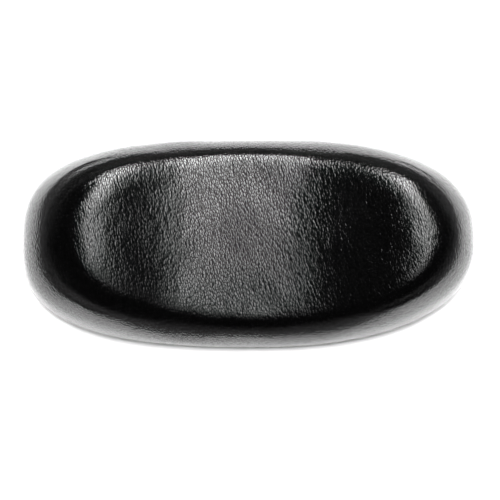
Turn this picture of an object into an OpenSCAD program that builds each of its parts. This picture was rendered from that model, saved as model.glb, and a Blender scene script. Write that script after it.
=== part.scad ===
// Chair armrest pad: a leather cover drawn over a moulded foam cushion and stapled
// under a ribbed carrier, closed from below by a screwed base cover. Four threaded
// inserts in the carrier take the screws of the chair's arm.
//
// Millimetres, +Z up. The origin is the centre of the fixing pattern, on the mounting
// face. +X points to the tapered front end and +Y to the straighter inner side.

/* [Outline] */
// Length over the leather
pad_l = 260; // [240:1:280]
// Width over the leather
pad_w = 121; // [112:1:130]
// How far the widest line lies in front of the middle
widest_x = 5; // [0:0.5:8]
// Fullness of the rear inner corner, where 2 is an ellipse
rim_rear_inner = 2.9; // [2.1:0.05:3.2]
// Fullness of the front inner corner
rim_front_inner = 2.65; // [2.1:0.05:3.2]
// Fullness of the rear outer corner
rim_rear_outer = 2.75; // [2.1:0.05:3.2]
// Fullness of the front outer corner
rim_front_outer = 2.25; // [2.1:0.05:3.2]

/* [Brow, where the top turns down into the edge roll] */
// Width of the edge roll along the long sides
side_roll = 17; // [14:0.5:22]
// Width of the edge roll at the rear end
rear_roll = 37; // [28:1:42]
// Width of the edge roll at the front end
front_roll = 28; // [20:1:34]
// Fullness of the brow's rear inner corner
brow_rear_inner = 1.9; // [1.6:0.05:2.5]
// Fullness of the brow's front inner corner
brow_front_inner = 1.7; // [1.6:0.05:2.5]
// Fullness of the brow's rear outer corner
brow_rear_outer = 1.9; // [1.6:0.05:2.5]
// Fullness of the brow's front outer corner
brow_front_outer = 2.05; // [1.6:0.05:2.5]

/* [Cushion profile] */
// Height of the edge's outermost line above the mounting face
edge_z = 9; // [8:0.5:12]
// Rise from that line to the floor of the arm dish
floor_rise = 18; // [16:0.5:22]
// Depth of the arm dish below the two crests
dish_depth = 15; // [6:0.5:16]
// Flatness of the dish's floor, where more is flatter with steeper ends
dish_flatness = 1.5; // [1:0.1:2.2]
// Distance of the rear crest from the middle
rear_crest_x = 98; // [88:1:102]
// Distance of the front crest from the middle
front_crest_x = 104; // [96:1:110]
// Fall of the top from the middle line to the long sides
crown = 1.5; // [0:0.5:4]

/* [Cover] */
// Thickness of the leather
leather_t = 1.4; // [1:0.1:1.6]
// How far the under roll runs in from the edge
tuck = 12; // [10:0.5:12]
// Where the hem ends, in from the edge
hem_inset = 22.5; // [21:0.5:22.5]
// Number of hem staples
staple_count = 40; // [24:2:44]

/* [Carrier] */
// Thickness of the carrier plate
plate_t = 3; // [2.5:0.5:4]
// Depth of the staple rail below the plate
rail_h = 4.8; // [4:0.2:6]
// Thickness of the ribs
rib_t = 2; // [1.5:0.5:3]

/* [Fixings] */
// Fixing pattern along X
fix_x = 100; // [90:5:110]
// Fixing pattern along Y
fix_y = 50; // [40:5:52]
// Diameter of the insert's bore, for an M6 thread
insert_bore_d = 5; // [4:0.1:5.4]
// Diameter over the insert's knurl
insert_d = 8; // [7.4:0.1:9]
// Diameter of the bosses that carry the inserts
boss_d = 18; // [14:1:20]

/* [Base cover] */
// Thickness of the base cover
base_t = 2.6; // [2.4:0.1:2.8]
// How far the base cover's rim sits in from the edge
base_inset = 15; // [14:0.5:16]

/* [Hidden] */

segments = 96;              // facets round the outline
half_w = pad_w / 2;
rear_reach = pad_l / 2 + widest_x;
front_reach = pad_l / 2 - widest_x;
glue = 0.05;                // film between bonded surfaces

hem_z = base_t + 0.1;                   // outer face of the hem
rail_z = hem_z + leather_t + glue;      // face that the hem lies on
plate_z = rail_z + rail_h;              // underside of the carrier plate
plate_top = plate_z + plate_t;
pan_inset = tuck + 0.5;
rail_inset = hem_inset + 0.5;           // inner wall of the staple rail
rib_z = rail_z + 0.9;

insert_l = 10;
thread_depth = insert_l + 0.8;
boss_gap = 0.3;             // between a boss and its hole in the base cover

staple_inset = 19;
staple_crown = 9;
staple_leg = 6;
wire_w = 0.9;
wire_t = 0.5;

cover_screw_r = 1.48;
cover_screw_bore_r = 1.5;
screw_head_r = 3.3;
screw_head_h = 1.9;
screw_seat_z = 2.2;
seat_boss_r = 5;
seat_boss_top = 4.5;
post_r = 4;
screw_tip_z = 10;

fix_points = [for (sx = [-1, 1], sy = [-1, 1]) [sx * fix_x / 2, sy * fix_y / 2]];
cover_screw_points = concat([for (sy = [-1, 1]) [0, 31 * sy]],
                            [for (sx = [-1, 1], sy = [-1, 1]) [92 * sx, 13 * sy]]);

// ---- Ovals: four superellipse quadrants that share their axes ----

// Fullness at the direction (c, s), from one of each quadrant
function fullness(c, s, full) = c < 0 ? (s < 0 ? full[2] : full[0]) : (s < 0 ? full[3] : full[1]);

// Point of an oval at angle t, for its reach to the rear, to the front and to either side
function oval(t, rear, front, side, full) =
    let (c = cos(t), s = sin(t), n = fullness(c, s, full),
         k = pow(pow(abs(c), n) + pow(abs(s), n), -1 / n))
    [k * (c < 0 ? rear : front) * c, k * side * s];

rim_full = [rim_rear_inner, rim_front_inner, rim_rear_outer, rim_front_outer];
brow_full = [brow_rear_inner, brow_front_inner, brow_rear_outer, brow_front_outer];

// The pad's outline and its unit outward normal, and the brow
function rim(t) = oval(t, rear_reach, front_reach, half_w, rim_full);
function rim_normal(t) =
    let (c = cos(t), s = sin(t), n = fullness(c, s, rim_full),
         gx = sign(c) * pow(abs(c), n - 1) / (c < 0 ? rear_reach : front_reach),
         gy = sign(s) * pow(abs(s), n - 1) / half_w)
    [gx, gy] / norm([gx, gy]);
function brow(t) = oval(t, rear_reach - rear_roll, front_reach - front_roll,
                        half_w - side_roll, brow_full);

// The outline moved inwards by a distance, in the part's frame
function inset_point(t, inset) = [widest_x, 0] + rim(t) - inset * rim_normal(t);
function inset_outline(inset) =
    [for (i = [0:segments - 1]) inset_point(360 * i / segments, inset)];

// ---- The cushion's surface, drawn inwards by depth d ----

// Height of the arm dish's surface above its floor
function dish(x) =
    let (share = min(1, max(-x / rear_crest_x, x / front_crest_x)))
    dish_depth * pow(sin(90 * pow(share, dish_flatness)), 2);

// Top point at angle t: a share of the way out to the brow, or past it where the roll has
// turned down by turn, from 0 at the brow to 90 at the edge
function top_point(t, share, turn, d) =
    let (out = rim(t) - d * rim_normal(t),
         p = [widest_x, 0] + share * (brow(t) + (out - brow(t)) * sin(turn)),
         h = floor_rise - d + dish(p.x) - crown * pow(p.y / half_w, 2))
    [p.x, p.y, edge_z + h * cos(turn)];

// Point of the under roll, from 0 at the edge to 90 where it turns flat
function under_point(t, turn, d) =
    let (p = inset_point(t, d + (tuck - d) * (1 - cos(turn))))
    [p.x, p.y, edge_z - (edge_z - hem_z - d) * sin(turn)];

dish_rings = 9;
roll_step = 11.25;
under_step = 18;
function ring_angles() = [for (i = [0:segments - 1]) 360 * i / segments];

// Rings from beside the middle of the dish to the end of the under roll
function cushion_rings(d) = concat(
    [for (i = [1:dish_rings]) [for (t = ring_angles()) top_point(t, i / dish_rings, 0, d)]],
    [for (turn = [roll_step:roll_step:90]) [for (t = ring_angles()) top_point(t, 1, turn, d)]],
    [for (turn = [under_step:under_step:90]) [for (t = ring_angles())
        under_point(t, turn, d)]]);

function flat_ring(inset, z) = [for (t = ring_angles()) concat(inset_point(t, inset), z)];

// ---- Closed solids from rings ----

function band(a, b, n) =
    [for (i = [0:n - 1], k = [0, 1]) let (j = (i + 1) % n)
        k == 0 ? [a * n + i, a * n + j, b * n + j] : [a * n + i, b * n + j, b * n + i]];
function fan(ring, hub, n, up) =
    [for (i = [0:n - 1]) let (j = (i + 1) % n)
        up ? [hub, ring * n + j, ring * n + i] : [hub, ring * n + i, ring * n + j]];

// Rings from a top hub point to a bottom hub point, as one solid
module ring_solid(rings, top_hub, bottom_hub) {
    n = segments;
    last = len(rings) - 1;
    points = concat([for (r = rings, p = r) p], [top_hub, bottom_hub]);
    bands = [for (r = [0:last - 1], f = band(r, r + 1, n)) f];
    polyhedron(points, concat(fan(0, len(points) - 2, n, true), bands,
                              fan(last, len(points) - 1, n, false)));
}

module slab(inset, z0, z1) {
    translate([0, 0, z0]) linear_extrude(z1 - z0) polygon(inset_outline(inset));
}

module frame_ring(inset0, inset1, z0, z1) {
    translate([0, 0, z0]) linear_extrude(z1 - z0) difference() {
        polygon(inset_outline(inset0));
        polygon(inset_outline(inset1));
    }
}

module at_points(points) {
    for (p = points) translate([p.x, p.y, 0]) children();
}

// ---- Even spacing along the staple line ----

arc_steps = 180;
function arc_table(i = 0, run = 0) =
    i > arc_steps ? [] :
    let (t = 360 * i / arc_steps,
         step = norm(inset_point(t, staple_inset) -
                     inset_point(t + 360 / arc_steps, staple_inset)))
    concat([[run, t]], arc_table(i + 1, run + step));
staple_arc = arc_table();
staple_run = staple_arc[arc_steps][0];
function staple_angle(k) = lookup(staple_run * (k + 0.5) / staple_count, staple_arc);

module at_staples() {
    for (k = [0:staple_count - 1]) {
        t = staple_angle(k);
        p = inset_point(t, staple_inset);
        n = rim_normal(t);
        translate([p.x, p.y, hem_z]) rotate(atan2(n.y, n.x) + 90) children();
    }
}

// Both legs of a staple from depth z0 up, with some slack round the wire
module staple_legs(z0, slack) {
    for (side = [-1, 1])
        translate([side * (staple_crown - wire_t) / 2 - wire_t / 2 - slack,
                   -wire_w / 2 - slack, z0])
            cube([wire_t + 2 * slack, wire_w + 2 * slack, staple_leg - z0 + slack]);
}

// ---- Sub-parts ----

// Leather, closed over the top and open below inside its hem
module leather_cover() {
    n = segments;
    outer = concat(cushion_rings(0), [flat_ring(hem_inset, hem_z)]);
    inner = concat(cushion_rings(leather_t), [flat_ring(hem_inset, hem_z + leather_t)]);
    count = len(outer);
    rings = concat(outer, [for (i = [count - 1:-1:0]) inner[i]]);
    hub_z = edge_z + floor_rise + dish(widest_x);
    color([0.09, 0.09, 0.095]) difference() {
        ring_solid(rings, [widest_x, 0, hub_z], [widest_x, 0, hub_z - leather_t]);
        at_staples() staple_legs(-1, 0.05);
    }
}

// Moulded foam, hollow below where the carrier sits
module foam_cushion() {
    d = leather_t + glue;
    bed = plate_top + glue;
    rings = concat(cushion_rings(d), [flat_ring(pan_inset - glue, hem_z + d),
                                      flat_ring(pan_inset - glue, bed)]);
    hub_z = edge_z + floor_rise + dish(widest_x) - d;
    color([0.86, 0.79, 0.58])
        ring_solid(rings, [widest_x, 0, hub_z], [widest_x, 0, bed]);
}

module carrier_ribs() {
    rib_h = plate_z - rib_z + 0.1;
    intersection() {
        slab(rail_inset - 1, rib_z, plate_z + 0.1);
        union() {
            for (y = [-fix_y / 2, 0, fix_y / 2])
                translate([-pad_l / 2, y - rib_t / 2, rib_z]) cube([pad_l, rib_t, rib_h]);
            for (x = [-92, -fix_x / 2, 0, fix_x / 2, 92])
                translate([x - rib_t / 2, -half_w, rib_z]) cube([rib_t, pad_w, rib_h]);
        }
    }
}

// Rigid moulding with the staple rail, ribs, insert bosses and screw posts
module carrier_pan() {
    color([0.20, 0.21, 0.23]) difference() {
        union() {
            slab(pan_inset, plate_z, plate_top);
            frame_ring(pan_inset, rail_inset, rail_z, plate_z + 0.1);
            carrier_ribs();
            at_points(fix_points) cylinder(d = boss_d, h = plate_z + 0.1, $fn = 64);
            at_points(cover_screw_points) translate([0, 0, seat_boss_top + glue])
                cylinder(r = post_r, h = plate_z - seat_boss_top, $fn = 48);
        }
        at_points(fix_points) translate([0, 0, -1]) {
            cylinder(d = insert_d, h = insert_l + 1, $fn = 64);
            cylinder(r = insert_bore_d / 2 + 0.6, h = thread_depth + 1, $fn = 64);
        }
        at_points(cover_screw_points) cylinder(r = cover_screw_bore_r, h = screw_tip_z + 0.5,
                                               $fn = 32);
        at_staples() staple_legs(-1, 0);
    }
}

function knurl(r, depth, teeth) =
    [for (i = [0:2 * teeth - 1]) let (a = 180 * i / teeth, k = r - (i % 2) * depth)
        [k * cos(a), k * sin(a)]];

// Brass inserts with two knurled bands each
module threaded_inserts() {
    neck_r = insert_d / 2 - 0.35;
    band_h = 3.6;
    color([0.78, 0.62, 0.30]) at_points(fix_points) difference() {
        union() {
            cylinder(r = neck_r, h = insert_l, $fn = 48);
            for (z = [0.8, insert_l - 0.8 - band_h])
                translate([0, 0, z]) linear_extrude(band_h)
                    polygon(knurl(insert_d / 2, 0.3, 30));
        }
        translate([0, 0, -1]) cylinder(d = insert_bore_d, h = insert_l + 2, $fn = 64);
    }
}

// Wire staples that hold the hem to the rail
module hem_staples() {
    color([0.70, 0.71, 0.73]) at_staples() union() {
        translate([-staple_crown / 2, -wire_w / 2, -wire_t])
            cube([staple_crown, wire_w, wire_t]);
        staple_legs(-wire_t / 2, 0);
    }
}

// Moulded cover over the hem and the carrier's ribs
module base_cover() {
    chamfer = 0.8;
    lip_inset = rail_inset + 0.5;
    lip_t = 1.5;
    channel_w = 3.6;
    channel_floor = 1.8;
    color([0.11, 0.11, 0.12]) difference() {
        union() {
            ring_solid([flat_ring(base_inset, base_t), flat_ring(base_inset, chamfer),
                        flat_ring(base_inset + chamfer, 0)],
                       [widest_x, 0, base_t], [widest_x, 0, 0]);
            frame_ring(lip_inset, lip_inset + lip_t, base_t - 0.1, rib_z - 0.1);
            at_points(cover_screw_points) cylinder(r = seat_boss_r, h = seat_boss_top,
                                                   $fn = 48);
        }
        frame_ring(staple_inset - channel_w / 2, staple_inset + channel_w / 2,
                   channel_floor, base_t + 1);
        at_points(fix_points) translate([0, 0, -1])
            cylinder(r = boss_d / 2 + boss_gap, h = rib_z + 1, $fn = 64);
        at_points(cover_screw_points) translate([0, 0, -1]) {
            cylinder(r = screw_head_r + 0.3, h = screw_seat_z + 1, $fn = 48);
            cylinder(r = cover_screw_r + 0.3, h = seat_boss_top + 2, $fn = 32);
        }
    }
}

// Pan-head screws that hold the base cover, with a cross recess
module cover_screws() {
    slot_l = 3.6;
    slot_w = 0.9;
    slot_h = 1.2;
    head_z = screw_seat_z - screw_head_h;
    color([0.16, 0.16, 0.17]) at_points(cover_screw_points) difference() {
        union() {
            translate([0, 0, head_z + 0.5]) cylinder(r = screw_head_r, h = screw_head_h - 0.5,
                                                     $fn = 48);
            translate([0, 0, head_z]) cylinder(r1 = screw_head_r - 0.7, r2 = screw_head_r,
                                               h = 0.5, $fn = 48);
            translate([0, 0, screw_seat_z - 0.1])
                cylinder(r = cover_screw_r, h = screw_tip_z - screw_seat_z - 1.4, $fn = 32);
            translate([0, 0, screw_tip_z - 1.5])
                cylinder(r1 = cover_screw_r, r2 = 0.4, h = 1.5, $fn = 32);
        }
        for (a = [0, 90]) rotate(a) translate([-slot_l / 2, -slot_w / 2, head_z - 1])
            cube([slot_l, slot_w, slot_h + 1]);
    }
}

leather_cover();
foam_cushion();
carrier_pan();
threaded_inserts();
hem_staples();
base_cover();
cover_screws();
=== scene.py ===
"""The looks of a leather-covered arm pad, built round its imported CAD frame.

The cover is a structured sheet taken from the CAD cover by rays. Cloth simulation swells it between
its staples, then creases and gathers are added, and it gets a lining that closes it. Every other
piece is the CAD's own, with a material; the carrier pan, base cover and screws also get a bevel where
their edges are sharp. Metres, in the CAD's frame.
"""

import math

import bmesh
import bpy
import numpy as np
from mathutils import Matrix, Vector, noise
from mathutils.bvhtree import BVHTree


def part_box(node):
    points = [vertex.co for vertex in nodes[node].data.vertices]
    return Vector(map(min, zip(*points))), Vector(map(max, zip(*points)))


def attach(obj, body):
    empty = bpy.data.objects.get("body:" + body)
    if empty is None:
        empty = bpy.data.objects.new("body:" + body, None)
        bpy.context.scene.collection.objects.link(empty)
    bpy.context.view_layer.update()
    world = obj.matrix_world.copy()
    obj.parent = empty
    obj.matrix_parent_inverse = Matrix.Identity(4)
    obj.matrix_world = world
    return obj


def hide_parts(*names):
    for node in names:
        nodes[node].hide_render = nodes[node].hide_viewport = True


MM = 0.001
JOIN_GAP = 0.001 * MM       # points nearer to each other than this are one point
NEAR_ZERO = 1e-9            # lengths below this have no direction

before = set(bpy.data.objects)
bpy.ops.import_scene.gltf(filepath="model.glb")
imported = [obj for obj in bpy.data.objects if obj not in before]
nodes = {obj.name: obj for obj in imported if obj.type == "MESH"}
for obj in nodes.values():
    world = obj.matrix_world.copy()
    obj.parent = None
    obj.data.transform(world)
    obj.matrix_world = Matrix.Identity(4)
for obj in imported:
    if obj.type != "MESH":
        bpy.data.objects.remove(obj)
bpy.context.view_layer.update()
scene = bpy.context.scene

# ---- Sizes of the cover's sheet, in metres ----

TOP_COLUMNS = 120           # quads along the top's quad grid
TOP_ROWS = 56               # quads across it
ROLL_RINGS = 20             # rings round the edge roll, down to its underside
HEM_RINGS = 8               # rings from there to the hem's cut edge
ROLL_CENTRE = 12 * MM       # the middle of the roll's fan of rays, in from the edge
ROLL_RAY = 0.2              # how far from there the fan's rays start
RAY_MARGIN = 0.05           # how far outside the cover the other rays start
HEM_SEARCH = 48 * MM        # the hem's cut edge is less than this far in from the edge
HEM_HALVINGS = 14           # halvings of that distance that find it
FAIR_ROUNDS = 20            # smoothing rounds that take the CAD's facets out of the sheet
FAIR_WEIGHTS = (0.5, -0.53)     # each round shrinks the sheet, then swells it back
LINING_DEPTH = 1.3 * MM     # the leather's inner face, below the CAD surface
LINING_LIFT = 0.9           # the least height of that face over the hem, as a share of its depth

# ---- Cloth ----

SHRINK = 0.2 * MM           # the sheet starts this much inside the CAD surface
SWELL_CAP = 0.4 * MM        # how far a point may move
CLOTH_EASE = 0.004          # how much bigger the leather is than the shrunk sheet
CLOTH_FRAMES = 14
CLOTH_SETTINGS = {
    "quality": 4,
    "mass": 0.25,
    "tension_stiffness": 12,
    "compression_stiffness": 12,
    "shear_stiffness": 6,
    "bending_stiffness": 1.5,
    "use_pressure": True,
    "uniform_pressure_force": 6,
    "shrink_min": -CLOTH_EASE,
}
STAPLE_GRIP = 4.5 * MM      # hem points this close to a staple don't move

# ---- Leather drawn over the foam: what the simulation is too coarse for ----

SAG_DEPTH = 0.12 * MM       # slow unevenness of the top
SAG_SIZE = 34 * MM
SAG_FADE = 10 * MM          # it fades out over this height above the edge
WRINKLE_DEPTH = 0.02 * MM   # the coarsest of the grain, drawn out across the pad
WRINKLE_SIZE = (3.2 * MM, 9 * MM, 5 * MM)
GRAIN_TURN = math.radians(-18)      # the way that wrinkles and pebbles are drawn out
GATHER_DEPTH = 0.7 * MM     # depth of the folds where the leather turns under at the ends
GATHER_SPACING = 6.5 * MM
GATHER_BAND = (1.5 * MM, 6 * MM, 12.5 * MM, 14.5 * MM)  # insets: start, full, fade, end
GATHER_BENDS = (4, 26)      # outline's bends, per metre, with no folds and with full ones
OUTLINE_STEPS = 720         # steps round the outline that its bend is measured in
BEND_WINDOW = 41            # steps that the bend is averaged over


# ---- The cover's sheet ----

def joined_mesh(obj):
    """A copy of an object's mesh for bmesh code, with its doubled points joined."""
    mesh = bmesh.new()
    mesh.from_mesh(obj.data)
    bmesh.ops.remove_doubles(mesh, verts=mesh.verts, dist=JOIN_GAP)
    return mesh


class CoverProbe:
    """Finds the outer surface of the CAD cover by rays from outside."""

    def __init__(self, obj):
        mesh = joined_mesh(obj)
        self.tree = BVHTree.FromBMesh(mesh)
        mesh.free()
        low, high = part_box(obj.name)
        points = np.array([v.co for v in obj.data.vertices])
        self.edge_z = float(points[points[:, 0].argmax(), 2])
        self.hem_z = low.z
        self.above = high.z + RAY_MARGIN
        self.far = high.x + RAY_MARGIN
        self.hub = Vector(((low.x + high.x) / 2, (low.y + high.y) / 2, self.edge_z))

    def hit(self, start, toward):
        """The first point of the cover on the way from start."""
        return self.tree.ray_cast(start, (toward - start).normalized())[0]

    def reach(self, way):
        """Distance from the hub to the outermost line, along a level direction."""
        start = self.hub + way * (2 * self.far)
        return (self.hit(start, self.hub) - self.hub).length

    def top(self, way, radius):
        """The point of the top above a level offset from the hub."""
        under = self.hub + way * radius
        return self.hit(Vector((under.x, under.y, self.above)), under)

    def roll(self, way, centre_radius, turn):
        """The point of the edge roll at an angle from straight up, about the roll's centre."""
        centre = self.hub + way * centre_radius
        out = way * math.sin(turn) + Vector((0, 0, math.cos(turn)))
        return self.hit(centre + out * ROLL_RAY, centre)

    def covers(self, way, radius):
        """Whether the flat hem lies below a level offset. Two rays, as a staple may pierce one."""
        aside = way.cross(Vector((0, 0, 1))) * MM
        for over in (self.hub + way * radius - aside, self.hub + way * radius + aside):
            found = self.hit(Vector((over.x, over.y, -RAY_MARGIN)), over)
            if found and found.z < self.edge_z:
                return True
        return False

    def hem_end(self, way, start, limit):
        """Radius of the hem's cut edge, between a radius on the hem and one inside it."""
        for _ in range(HEM_HALVINGS):
            middle = (start + limit) / 2
            if self.covers(way, middle):
                start = middle
            else:
                limit = middle
        return start

    def hem(self, way, radius):
        """The point of the flat hem's underside below a level offset."""
        spot = self.hub + way * radius
        return Vector((spot.x, spot.y, self.hem_z))


def disc_point(u, v):
    """A square's point, both sides from -1 to 1, on the unit disc."""
    return u * math.sqrt(1 - v * v / 2), v * math.sqrt(1 - u * u / 2)


def top_grid(probe):
    """The top's points and quads, and its outermost points in order round it."""
    half_x = probe.reach(Vector((1, 0, 0)))
    half_y = probe.reach(Vector((0, 1, 0)))
    points = []
    index = {}
    for i in range(TOP_COLUMNS + 1):
        for j in range(TOP_ROWS + 1):
            x, y = disc_point(2 * i / TOP_COLUMNS - 1, 2 * j / TOP_ROWS - 1)
            way = Vector((x * half_x, y * half_y, 0))
            way = way.normalized() if way.length > NEAR_ZERO else Vector((1, 0, 0))
            radius = math.hypot(x, y) * (probe.reach(way) - ROLL_CENTRE)
            index[i, j] = len(points)
            points.append(probe.top(way, radius))
    faces = [(index[i, j], index[i + 1, j], index[i + 1, j + 1], index[i, j + 1])
             for i in range(TOP_COLUMNS) for j in range(TOP_ROWS)]
    rim = [index[i, 0] for i in range(TOP_COLUMNS)]
    rim += [index[TOP_COLUMNS, j] for j in range(TOP_ROWS)]
    rim += [index[i, TOP_ROWS] for i in range(TOP_COLUMNS, 0, -1)]
    rim += [index[0, j] for j in range(TOP_ROWS, 0, -1)]
    return points, faces, rim


def rings_below(probe, ways):
    """Rings of points along the ways from the hub: round the edge roll, then in to the cut edge."""
    edges = [probe.reach(way) for way in ways]
    rings = []
    for k in range(1, ROLL_RINGS + 1):
        turn = math.pi * k / ROLL_RINGS
        rings.append([probe.roll(way, edge - ROLL_CENTRE, turn) for way, edge in zip(ways, edges)])
    ends = [probe.hem_end(way, edge - ROLL_CENTRE, edge - HEM_SEARCH) for way, edge in zip(ways, edges)]
    for k in range(1, HEM_RINGS + 1):
        share = k / HEM_RINGS
        rings.append([probe.hem(way, (edge - ROLL_CENTRE) * (1 - share) + end * share)
                      for way, edge, end in zip(ways, edges, ends)])
    return rings


def cover_sheet(probe):
    """The cover's outer surface: a quad grid over the top, then rings down and under to the hem."""
    points, faces, rim = top_grid(probe)
    ways = [Vector((points[k].x - probe.hub.x, points[k].y - probe.hub.y, 0)).normalized() for k in rim]
    rings = [rim]
    for ring in rings_below(probe, ways):
        rings.append(list(range(len(points), len(points) + len(ring))))
        points += ring
    for upper, lower in zip(rings, rings[1:]):
        for i, k in enumerate(upper):
            after = (i + 1) % len(upper)
            faces.append((k, lower[i], lower[after], upper[after]))
    return points, faces, rings


def new_object(name, points, faces):
    mesh = bpy.data.meshes.new(name)
    mesh.from_pydata([tuple(p) for p in points], [], faces)
    mesh.update()
    obj = bpy.data.objects.new(name, mesh)
    scene.collection.objects.link(obj)
    return obj


def coordinates(mesh):
    co = np.empty(len(mesh.vertices) * 3)
    mesh.vertices.foreach_get("co", co)
    return co.reshape(-1, 3)


def set_coordinates(mesh, co):
    mesh.vertices.foreach_set("co", co.ravel())
    mesh.update()


def normals(mesh):
    out = np.empty(len(mesh.vertices) * 3)
    mesh.vertex_normals.foreach_get("vector", out)
    return out.reshape(-1, 3)


def staple_centres():
    """The middle of each staple, from the CAD staples' loose parts."""
    mesh = joined_mesh(nodes["hem_staples"])
    left = set(mesh.verts)
    centres = []
    while left:
        stack = [left.pop()]
        part = []
        while stack:
            vert = stack.pop()
            part.append(vert.co.copy())
            for edge in vert.link_edges:
                other = edge.other_vert(vert)
                if other in left:
                    left.remove(other)
                    stack.append(other)
        centres.append(sum(part, Vector()) / len(part))
    mesh.free()
    return centres


def held_points(place, rings):
    """The sheet's points that don't move: its cut edge, and the hem near each staple."""
    centres = staple_centres()
    held = set(rings[-1])
    for ring in rings[-HEM_RINGS:]:
        for k in ring:
            if min((Vector(place[k]).xy - c.xy).length for c in centres) < STAPLE_GRIP:
                held.add(k)
    return sorted(held)


def swell(obj, rings):
    """Cloth pass: the sheet swells off its foam, held by its staples and its cut edge."""
    start = coordinates(obj.data) - SHRINK * normals(obj.data)
    set_coordinates(obj.data, start)
    obj.vertex_groups.new(name="held").add(held_points(start, rings), 1.0, "REPLACE")
    cloth = obj.modifiers.new("swell", "CLOTH")
    for key, value in CLOTH_SETTINGS.items():
        setattr(cloth.settings, key, value)
    cloth.settings.vertex_group_mass = "held"
    cloth.settings.effector_weights.gravity = 0
    cloth.point_cache.frame_start = 1
    cloth.point_cache.frame_end = CLOTH_FRAMES
    for step in range(1, CLOTH_FRAMES + 1):
        scene.frame_set(step)
    shown = obj.evaluated_get(bpy.context.evaluated_depsgraph_get()).data
    moved = coordinates(shown) - start
    obj.modifiers.remove(cloth)
    length = np.linalg.norm(moved, axis=1, keepdims=True)
    moved *= np.minimum(1, SWELL_CAP / np.maximum(length, NEAR_ZERO))
    set_coordinates(obj.data, start + moved)
    scene.frame_set(1)


def subdivide(obj):
    """One subdivision, applied."""
    modifier = obj.modifiers.new("smooth", "SUBSURF")
    modifier.levels = 1
    graph = bpy.context.evaluated_depsgraph_get()
    mesh = bpy.data.meshes.new_from_object(obj.evaluated_get(graph))
    obj.modifiers.remove(modifier)
    obj.data = mesh


def ramp(value, low, high):
    """Smooth step from 0 at low to 1 at high."""
    share = np.clip((value - low) / (high - low), 0, 1)
    return share * share * (3 - 2 * share)


def fair(points, faces, fixed):
    """Taubin smoothing: takes out facets and leaves the shape's size."""
    co = np.array(points)
    quads = np.array(faces)
    ends = np.vstack([quads[:, [k, (k + 1) % 4]] for k in range(4)])
    ends = np.vstack([ends, ends[:, ::-1]])
    ends = np.unique(ends, axis=0)
    count = np.bincount(ends[:, 0], minlength=len(co))[:, None]
    free = np.ones((len(co), 1))
    free[fixed] = 0
    for _ in range(FAIR_ROUNDS):
        for weight in FAIR_WEIGHTS:
            sums = [np.bincount(ends[:, 0], weights=co[ends[:, 1], axis], minlength=len(co))
                    for axis in range(3)]
            around = np.stack(sums, axis=1) / count
            co += weight * free * (around - co)
    return co


def sag(obj, probe):
    """Slow unevenness of the top, as leather has over foam. It is the mean of two crossing
    waves, each bent sideways by a slower one, with numbers chosen so that nothing repeats."""
    co = coordinates(obj.data)
    x, y = co[:, 0] / SAG_SIZE, co[:, 1] / SAG_SIZE
    wave = np.sin(5.1 * x + 1.9 * np.sin(3.3 * y + 0.7))
    wave += np.sin(6.3 * y - 2.2 * np.sin(2.9 * x + 2.1))
    shown = ramp(co[:, 2], probe.edge_z, probe.edge_z + SAG_FADE)
    set_coordinates(obj.data, co + (0.5 * SAG_DEPTH * wave * shown)[:, None] * normals(obj.data))


def wrinkle(obj):
    """Fine drawn wrinkles, along the same direction as the grain in the material."""
    co = coordinates(obj.data)
    c, s = math.cos(GRAIN_TURN), math.sin(GRAIN_TURN)
    turned = [c * co[:, 0] - s * co[:, 1], s * co[:, 0] + c * co[:, 1], co[:, 2]]
    place = np.stack(turned, axis=1) / WRINKLE_SIZE
    rise = np.array([noise.noise(Vector(p)) for p in place])
    set_coordinates(obj.data, co + (WRINKLE_DEPTH * rise)[:, None] * normals(obj.data))


def outline(probe):
    """Round the outline, by angle: its reach from the hub, the run along it, and how much of the
    folds' depth its bend gives."""
    angles = np.linspace(-math.pi, math.pi, OUTLINE_STEPS + 1)
    reach = np.array([probe.reach(Vector((math.cos(a), math.sin(a), 0))) for a in angles])
    line = np.stack([reach * np.cos(angles), reach * np.sin(angles)], axis=1)
    steps = np.diff(line, axis=0)
    run = np.concatenate([[0], np.cumsum(np.linalg.norm(steps, axis=1))])
    heading = np.unwrap(np.arctan2(steps[:, 1], steps[:, 0]))
    bend = np.gradient(heading, run[1:])
    half = BEND_WINDOW // 2
    bend = np.concatenate([bend[-half:], bend, bend[:half]])
    bend = np.convolve(bend, np.ones(BEND_WINDOW) / BEND_WINDOW, "valid")
    return angles, reach, run, ramp(bend, *GATHER_BENDS)


def gather(obj, probe):
    """Folds below the edge, deepest where the outline turns most sharply."""
    angles, reach, run, tightness = outline(probe)
    co = coordinates(obj.data)
    offset = co[:, :2] - np.array(probe.hub)[:2]
    angle = np.arctan2(offset[:, 1], offset[:, 0])
    inset = np.interp(angle, angles, reach) - np.linalg.norm(offset, axis=1)
    turn = 2 * math.pi * np.interp(angle, angles, run) / run[-1]
    # The sines make the spacing of the folds uneven.
    phase = round(run[-1] / GATHER_SPACING) * turn + 1.6 * np.sin(3 * turn + 1) + 0.9 * np.sin(7 * turn + 2)
    fold = (0.5 - 0.5 * np.cos(phase)) ** 2
    start, full, fade, end = GATHER_BAND
    shown = ramp(inset, start, full) * (1 - ramp(inset, fade, end)) * (co[:, 2] < probe.edge_z)
    depth = GATHER_DEPTH * fold * shown * np.interp(angle, angles[1:], tightness)
    set_coordinates(obj.data, co - depth[:, None] * normals(obj.data))


def edge_loop(points, members, hub):
    """Members in order of their direction from the hub."""
    return sorted(members, key=lambda k: math.atan2(points[k][1] - hub.y, points[k][0] - hub.x))


def border_points(faces):
    """The points on a mesh's open border."""
    used = {}
    for face in faces:
        for pair in zip(face, face[1:] + face[:1]):
            key = tuple(sorted(pair))
            used[key] = used.get(key, 0) + 1
    return {k for pair, count in used.items() if count == 1 for k in pair}


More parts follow.
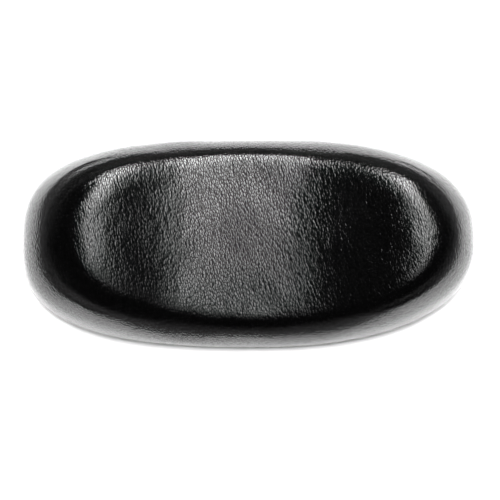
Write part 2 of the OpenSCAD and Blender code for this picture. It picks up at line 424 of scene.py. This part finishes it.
def seam(fine, coarse):
    """Triangles between two closed loops, with two points of the first to each of the second's."""
    faces = []
    for i, k in enumerate(coarse):
        after = coarse[(i + 1) % len(coarse)]
        a, b, c = (fine[(2 * i + step) % len(fine)] for step in (0, 1, 2))
        faces += [(a, b, k), (b, after, k), (b, c, after)]
    return faces


def lining_points(sheet, faces, probe):
    """The leather's inner face, with the coarse sheet's points."""
    shape = new_object("lining_shape", sheet, faces)
    inside = sheet - LINING_DEPTH * normals(shape.data)
    bpy.data.objects.remove(shape)
    inside[:, 2] = np.maximum(inside[:, 2], probe.hem_z + LINING_LIFT * LINING_DEPTH)
    return inside


def lined(name, outer, sheet, faces, hem, probe):
    """The closed cover: the outer mesh, and the coarse sheet as its lining, joined at the hem."""
    outside = coordinates(outer.data)
    inside = lining_points(sheet, faces, probe)
    quads = [tuple(p.vertices) for p in outer.data.polygons]
    fine = edge_loop(outside, border_points(quads), probe.hub)
    coarse = edge_loop(inside, hem, probe.hub)
    nearest = min(range(len(fine)), key=lambda i: np.hypot(*(outside[fine[i]] - inside[coarse[0]])[:2]))
    first = len(outside)
    joints = seam(fine[nearest:] + fine[:nearest], [k + first for k in coarse])
    lining = [tuple(k + first for k in reversed(face)) for face in faces]
    cover = new_object(name, np.vstack([outside, inside]), quads + joints + lining)
    bpy.data.objects.remove(outer)
    mesh = bmesh.new()
    mesh.from_mesh(cover.data)
    bmesh.ops.recalc_face_normals(mesh, faces=mesh.faces)
    mesh.to_mesh(cover.data)
    mesh.free()
    return cover


def leather_cover():
    """The cover as one closed object, which stands for the CAD's cover."""
    probe = CoverProbe(nodes["leather_cover"])
    points, faces, rings = cover_sheet(probe)
    flat_hem = [k for ring in rings[-HEM_RINGS:] for k in ring]
    sheet = fair(points, faces, flat_hem)
    outer = new_object("cover_sheet", sheet, faces)
    swell(outer, rings)
    subdivide(outer)
    sag(outer, probe)
    wrinkle(outer)
    gather(outer, probe)
    co = coordinates(outer.data)
    co[:, 2] = np.maximum(co[:, 2], probe.hem_z)
    set_coordinates(outer.data, co)
    cover = lined("cover", outer, sheet, faces, rings[-1], probe)
    for polygon in cover.data.polygons:
        polygon.use_smooth = True
    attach(cover, "root")
    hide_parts("leather_cover")
    return cover


# ---- Node helpers ----

class NodeTree:
    """A node tree, cleared, with short calls that add to it."""

    def __init__(self, tree):
        self.tree = tree
        self.tree.nodes.clear()

    def add(self, kind, **values):
        node = self.tree.nodes.new(kind)
        for key, value in values.items():
            setattr(node, key, value)
        return node

    def link(self, source, target):
        self.tree.links.new(source, target)

    def feed(self, socket, value):
        """Gives a socket its value, which is a number, a vector or another node's output."""
        if isinstance(value, bpy.types.NodeSocket):
            self.link(value, socket)
        else:
            socket.default_value = value

    def span(self, value, low, high, to_low=0.0, to_high=1.0, smooth=False):
        node = self.add("ShaderNodeMapRange")
        if smooth:
            node.interpolation_type = "SMOOTHSTEP"
        for name, item in (("Value", value), ("From Min", low), ("From Max", high),
                           ("To Min", to_low), ("To Max", to_high)):
            self.feed(node.inputs[name], item)
        return node.outputs["Result"]


class Shader(NodeTree):
    """A material's node tree, with one principled surface."""

    def __init__(self, name):
        self.material = bpy.data.materials.new(name)
        self.material.use_nodes = True
        super().__init__(self.material.node_tree)
        self.surface = self.add("ShaderNodeBsdfPrincipled")
        output = self.add("ShaderNodeOutputMaterial")
        self.link(self.surface.outputs[0], output.inputs["Surface"])
        self.place = self.add("ShaderNodeTexCoord").outputs["Object"]

    def maths(self, operation, a, b=0.0, c=0.0):
        node = self.add("ShaderNodeMath", operation=operation)
        for socket, value in zip(node.inputs, (a, b, c)):
            self.feed(socket, value)
        return node.outputs[0]

    def noise(self, place, scale, detail=2.0, roughness=0.5):
        node = self.add("ShaderNodeTexNoise")
        self.feed(node.inputs["Vector"], place)
        node.inputs["Scale"].default_value = scale
        node.inputs["Detail"].default_value = detail
        node.inputs["Roughness"].default_value = roughness
        return node

    def mapped(self, place, scale=(1, 1, 1), turn=(0, 0, 0)):
        node = self.add("ShaderNodeMapping")
        self.feed(node.inputs["Vector"], place)
        node.inputs["Scale"].default_value = scale
        node.inputs["Rotation"].default_value = turn
        return node.outputs[0]

    def grid(self, place, size):
        """Places measured in steps of a size along each axis."""
        return self.mapped(place, scale=[1 / step for step in size])

    def warped(self, place, scale, amount):
        """Places moved about by noise, so that a pattern loses its regularity."""
        colour = self.noise(place, scale, 1.0).outputs["Color"]
        centred = self.add("ShaderNodeVectorMath", operation="SUBTRACT")
        self.feed(centred.inputs[0], colour)
        centred.inputs[1].default_value = (0.5, 0.5, 0.5)
        moved = self.add("ShaderNodeVectorMath", operation="MULTIPLY_ADD")
        self.feed(moved.inputs[0], centred.outputs[0])
        moved.inputs[1].default_value = (amount, amount, amount)
        self.feed(moved.inputs[2], place)
        return moved.outputs[0]

    def cells(self, place, scale, feature="DISTANCE_TO_EDGE", randomness=1.0):
        node = self.add("ShaderNodeTexVoronoi", feature=feature)
        self.feed(node.inputs["Vector"], place)
        node.inputs["Scale"].default_value = scale
        node.inputs["Randomness"].default_value = randomness
        return node.outputs["Distance"]

    def blend(self, share, a, b):
        """A mix of two colours, each of them three numbers or another node's output."""
        node = self.add("ShaderNodeMix", data_type="RGBA")
        self.feed(node.inputs["Factor"], share)
        for socket, value in ((node.inputs[6], a), (node.inputs[7], b)):
            self.feed(socket, value if isinstance(value, bpy.types.NodeSocket) else (*value, 1.0))
        return node.outputs[2]

    def bump(self, height, depth):
        node = self.add("ShaderNodeBump")
        self.feed(node.inputs["Height"], height)
        node.inputs["Distance"].default_value = depth
        return node.outputs["Normal"]

    def finish(self, **inputs):
        """The material, with the surface's inputs set. An input's spaces are written as _."""
        for name, value in inputs.items():
            self.feed(self.surface.inputs[name.replace("_", " ")], value)
        return self.material


# ---- Materials ----

PEBBLE_SIZE = (1.15 * MM, 2.1 * MM, 1.4 * MM)   # the leather's pebbles, drawn out across the pad
PEBBLE_CREASE = 0.24        # width of the creases round them, as a share of a pebble
PEBBLE_RANDOMNESS = 0.85
CREASE_SIZE = (5.5 * MM, 14 * MM, 7 * MM)       # the patches between the longer creases
PORE_SIZE = 0.35 * MM
GRAIN_DEPTH = 0.032 * MM
WEAR_SIZE = 30 * MM         # slow changes in how rough the leather is
WEAR_ROUGHNESS = 0.10


def leather():
    """Black grained leather: round-topped pebbles drawn out across the pad, crossed by longer
    creases. The creases between pebbles are rougher and shine less, and their colour is painted darker, a
    painted shade in their hollows."""
    shader = Shader("black_leather")
    turned = shader.mapped(shader.place, turn=(0, 0, GRAIN_TURN))
    pebbles = shader.grid(turned, PEBBLE_SIZE)
    loose = shader.warped(pebbles, 0.5, 0.9)
    edge = shader.cells(loose, 1.0, randomness=PEBBLE_RANDOMNESS)
    dome = shader.span(edge, 0.0, PEBBLE_CREASE, smooth=True)
    middle = shader.cells(loose, 1.0, "F1", PEBBLE_RANDOMNESS)
    fall = shader.maths("MULTIPLY", middle, middle)
    uneven = shader.noise(pebbles, 1.3).outputs["Fac"]
    patches = shader.warped(shader.grid(turned, CREASE_SIZE), 0.8, 0.9)
    crease = shader.span(shader.cells(patches, 1.0), 0.0, 0.09, smooth=True)
    pores = shader.noise(shader.place, 1 / PORE_SIZE).outputs["Fac"]
    height = shader.maths("MULTIPLY", dome, 0.4)
    for part, share in ((fall, -2.6), (uneven, 0.2), (crease, 0.3), (pores, 0.03)):
        height = shader.maths("MULTIPLY_ADD", part, share, height)
    wear = shader.noise(shader.place, 1 / WEAR_SIZE, 3.0).outputs["Fac"]
    rough = shader.span(dome, 0.0, 1.0, 0.17, 0.13)
    rough = shader.maths("MULTIPLY_ADD", shader.maths("SUBTRACT", wear, 0.5), WEAR_ROUGHNESS, rough)
    shine = shader.span(edge, 0.02, 0.18, 0.28, 0.62, smooth=True)
    # Painted shade: the creases are coloured darker than the pebbles' tops, standing in for the shade in the
    # hollows between them.
    colour = shader.blend(dome, (0.0010, 0.0010, 0.0011), (0.0030, 0.0030, 0.0032))
    return shader.finish(Base_Color=colour, Roughness=rough, Normal=shader.bump(height, GRAIN_DEPTH),
                         IOR=1.5, Specular_IOR_Level=shine)


def moulded_plastic(name, dark, light, rough, grain):
    """Moulded plastic with a fine spark-eroded texture of a grain's size."""
    shader = Shader(name)
    fine = shader.noise(shader.place, 1 / grain, 3.0, 0.6).outputs["Fac"]
    flow = shader.noise(shader.place, 1 / (25 * MM)).outputs["Fac"]
    colour = shader.blend(flow, dark, light)
    roughness = shader.span(fine, 0.3, 0.7, rough - 0.06, rough + 0.08)
    return shader.finish(Base_Color=colour, Roughness=roughness, Normal=shader.bump(fine, 0.03 * MM))


def metal(name, dark, light, rough, marks_per_metre):
    """Metal with fine marks from drawing or turning, so many per metre along each axis."""
    shader = Shader(name)
    marked = shader.mapped(shader.place, scale=marks_per_metre)
    marks = shader.noise(marked, 1.0, 3.0).outputs["Fac"]
    stain = shader.noise(shader.place, 1 / (2.5 * MM)).outputs["Fac"]
    colour = shader.blend(stain, dark, light)
    roughness = shader.span(marks, 0.3, 0.7, rough - 0.07, rough + 0.10)
    return shader.finish(Base_Color=colour, Metallic=1.0, Roughness=roughness,
                         Normal=shader.bump(marks, 0.01 * MM))


def foam():
    """Moulded cushion foam with open pores."""
    shader = Shader("cushion_foam")
    pores = shader.cells(shader.place, 1 / (1.1 * MM), "F1")
    tint = shader.noise(shader.place, 1 / (18 * MM)).outputs["Fac"]
    colour = shader.blend(tint, (0.62, 0.52, 0.30), (0.78, 0.69, 0.46))
    return shader.finish(Base_Color=colour, Roughness=0.9, Normal=shader.bump(pores, 0.3 * MM))


SAME_PLANE = math.radians(0.5)      # faces turned less than this are one plane
SHARP_EDGE = math.radians(40)       # edges turned more than this are bevelled


def dress(name, material, bevel=0.0):
    """A CAD node's material, and a small bevel where its edges would be broken. The frame's
    meshes have a point per corner of each face, and planes cut into triangles. Both would spoil
    a bevel, so corners are welded and planes made whole first."""
    obj = nodes[name]
    obj.data.materials.clear()
    obj.data.materials.append(material)
    if bevel:
        obj.modifiers.new("joined_corners", "WELD").merge_threshold = JOIN_GAP
        planes = obj.modifiers.new("whole_planes", "DECIMATE")
        planes.decimate_type = "DISSOLVE"
        planes.angle_limit = SAME_PLANE
        edges = obj.modifiers.new("broken_edges", "BEVEL")
        edges.width = bevel
        edges.segments = 2
        edges.limit_method = "ANGLE"
        edges.angle_limit = SHARP_EDGE
        edges.use_clamp_overlap = False
        edges.harden_normals = True


# ---- Stage ----

PAD_MIDDLE = Vector((0, 0, 15 * MM))
CAMERA_DISTANCE = 1.1
CAMERA_ELEVATION = math.radians(80)
CAMERA_SHIFT = (0.003, -0.0185)     # moves the pad in the picture, as shares of its width
FRAME_WIDTH = 0.2845        # what the picture's width spans at the pad
TABLE_REACH = 3.0           # half the table's width
TABLE_DROP = 0.2 * MM       # how far the table is below the pad
WASH_PLACE = Vector((0, 0.9, 2.2))
WASH_WIDTH = 3.0
WASH_POWER = 360            # of the light that reaches the table only
LIGHT_DISTANCE = 1.2
STRIP_WIDTH = 12            # degrees that each strip of the softbox takes up, front to back
# Each strip's angle behind straight up, its angle to the right, its width in degrees, its glow
SOFTBOX_STRIPS = ((-6, 7.5, 8, 6.5), (6, 7, 11, 21), (18, 6.5, 14, 33), (30, 5.5, 13, 54), (42, 4.5, 10, 80))
HAZE_GLOW = 0.9             # brightness of the room along the table's horizon
HAZE_BASE = -0.1            # where it starts to fade, as the sine of the angle above level
HAZE_TOP = 0.66             # where it has faded out
ROOM_GLOW = 0.015           # brightness above the haze


def aim(obj, place):
    """Puts a light or the camera at a place, turned to the pad's middle."""
    obj.location = place
    obj.rotation_euler = (PAD_MIDDLE - place).to_track_quat("-Z", "Y").to_euler()


def camera():
    data = bpy.data.cameras.new("camera")
    obj = bpy.data.objects.new("camera", data)
    scene.collection.objects.link(obj)
    out = Vector((0, -math.cos(CAMERA_ELEVATION), math.sin(CAMERA_ELEVATION)))
    aim(obj, PAD_MIDDLE + out * CAMERA_DISTANCE)
    data.angle = 2 * math.atan(FRAME_WIDTH / 2 / CAMERA_DISTANCE)
    data.shift_x, data.shift_y = CAMERA_SHIFT
    scene.camera = obj


def softbox(name, place, size, power):
    data = bpy.data.lights.new(name, "AREA")
    data.shape = "RECTANGLE"
    data.size, data.size_y = size
    data.energy = power
    obj = bpy.data.objects.new(name, data)
    scene.collection.objects.link(obj)
    aim(obj, place)
    return obj


def hang_softbox(name, lean, spread, glow):
    """A softbox seen from the pad at angles of lean to the right and behind, in degrees from
    straight up. It spreads over so many degrees each way, and glow is its power per square metre."""
    side, back = (math.tan(math.radians(angle)) for angle in lean)
    way = Vector((side, back, 1)).normalized()
    size = [2 * LIGHT_DISTANCE * math.tan(math.radians(angle / 2)) for angle in spread]
    return softbox(name, PAD_MIDDLE + way * LIGHT_DISTANCE, size, glow * size[0] * size[1])


def table():
    """A white table, a little darker to the camera than to the pad."""
    corners = [(x, y, -TABLE_DROP) for x, y in ((-TABLE_REACH, -TABLE_REACH), (TABLE_REACH, -TABLE_REACH),
                                                (TABLE_REACH, TABLE_REACH), (-TABLE_REACH, TABLE_REACH))]
    floor = new_object("floor", corners, [(0, 1, 2, 3)])
    shader = Shader("white_table")
    speck = shader.noise(shader.place, 40.0).outputs["Fac"]
    seen = shader.add("ShaderNodeLightPath").outputs["Is Camera Ray"]
    shown = shader.blend(speck, (0.80, 0.80, 0.80), (0.83, 0.83, 0.83))
    white = shader.blend(seen, (0.9, 0.9, 0.9), shown)
    floor.data.materials.append(shader.finish(Base_Color=white, Roughness=0.8))
    return floor


def room():
    """A dark room with a pale haze along its horizon. The camera sees it white."""
    world = bpy.data.worlds.new("room")
    world.use_nodes = True
    tree = NodeTree(world.node_tree)
    place = tree.add("ShaderNodeTexCoord").outputs["Generated"]
    split = tree.add("ShaderNodeSeparateXYZ")
    tree.link(place, split.inputs[0])
    haze = tree.span(split.outputs["Z"], HAZE_BASE, HAZE_TOP, HAZE_GLOW, ROOM_GLOW, smooth=True)
    seen = tree.add("ShaderNodeLightPath").outputs["Is Camera Ray"]
    choose = tree.add("ShaderNodeMixShader")
    tree.link(seen, choose.inputs[0])
    for socket, strength in ((choose.inputs[1], haze), (choose.inputs[2], 1.0)):
        shade = tree.add("ShaderNodeBackground")
        shade.inputs["Color"].default_value = (1, 1, 1, 1)
        tree.feed(shade.inputs["Strength"], strength)
        tree.link(shade.outputs[0], socket)
    output = tree.add("ShaderNodeOutputWorld")
    tree.link(choose.outputs[0], output.inputs["Surface"])
    scene.world = world


def stage():
    floor = table()
    for back, side, width, glow in SOFTBOX_STRIPS:
        hang_softbox(f"key_{back}", (side, back), (width, STRIP_WIDTH), glow)
    wash = softbox("table_wash", WASH_PLACE, (WASH_WIDTH, WASH_WIDTH), WASH_POWER)
    lit = bpy.data.collections.new("lit_by_the_wash")
    lit.objects.link(floor)
    wash.light_linking.receiver_collection = lit
    room()
    scene.view_settings.view_transform = "Standard"


# ---- Assembly ----

cover = leather_cover()
cover.data.materials.clear()
cover.data.materials.append(leather())
dress("foam_cushion", foam())
dress("carrier_pan",
      moulded_plastic("carrier_nylon", (0.035, 0.036, 0.040), (0.060, 0.062, 0.068), 0.50, 0.5 * MM),
      bevel=0.25 * MM)
dress("threaded_inserts",
      metal("turned_brass", (0.52, 0.36, 0.14), (0.80, 0.62, 0.30), 0.28, (900, 900, 9000)))
dress("hem_staples",
      metal("staple_wire", (0.45, 0.46, 0.48), (0.70, 0.71, 0.73), 0.32, (3000, 3000, 600)))
dress("base_cover",
      moulded_plastic("base_plastic", (0.010, 0.010, 0.011), (0.018, 0.018, 0.020), 0.46, 0.4 * MM),
      bevel=0.2 * MM)
dress("cover_screws",
      metal("black_zinc", (0.05, 0.05, 0.055), (0.12, 0.12, 0.13), 0.36, (2500, 2500, 2500)),
      bevel=0.12 * MM)
stage()
camera()
